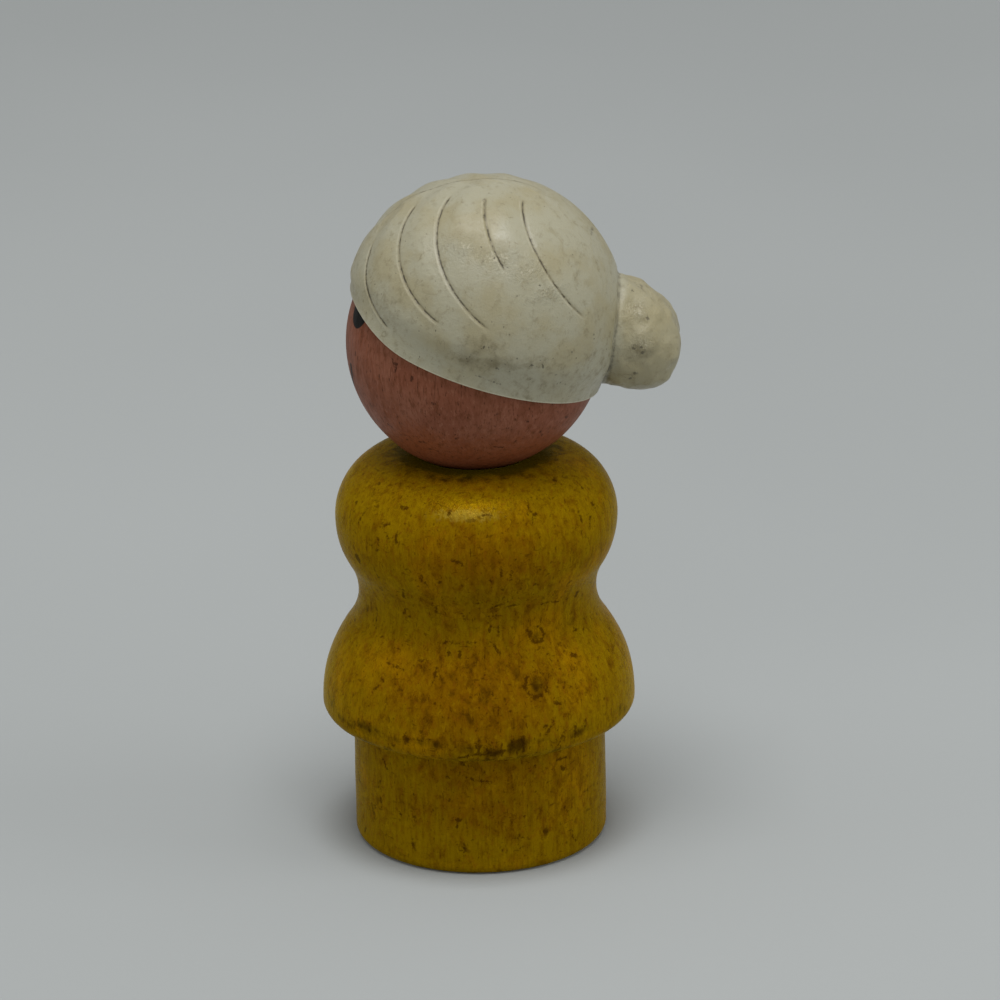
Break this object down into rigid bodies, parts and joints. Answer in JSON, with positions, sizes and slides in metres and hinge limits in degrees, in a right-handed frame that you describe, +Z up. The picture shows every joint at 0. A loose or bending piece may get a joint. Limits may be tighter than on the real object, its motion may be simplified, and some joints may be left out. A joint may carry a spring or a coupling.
{
  "type": "peg doll",
  "caption": "Turned wooden peg doll with a skirted one-piece body, a ball head that turns on a neck dowel, and a moulded hair cap with a bun at the back.",
  "frame": {"origin": "centre of the flat underside of the peg", "axes": "+Z up along the axis of turning, -Y the way the doll faces at rest, +X to the doll's left"},
  "size_m": [0.0274, 0.0316, 0.0597],
  "materials": {
    "body_paint": "turned hardwood under a worn coat of translucent mustard yellow stain and varnish, satin",
    "dowel_wood": "bare hardwood dowel",
    "head_paint": "turned hardwood ball under worn flesh pink paint, dull satin, with a painted face",
    "hair_plastic": "ivory white moulded polyethylene, waxy, with grey dirt in the incised lines"
  },
  "bodies": {
    "body": {"body": "body_paint"},
    "head": {"head": "head_paint", "neck_dowel": "dowel_wood", "hair_cap": "hair_plastic"}
  },
  "joints": [
    {"name": "neck_swivel", "type": "hinge", "parent": "body", "child": "head", "pos_m": [0, 0, 0.0341], "axis": [0, 0, 1], "continuous": true}
  ]
}
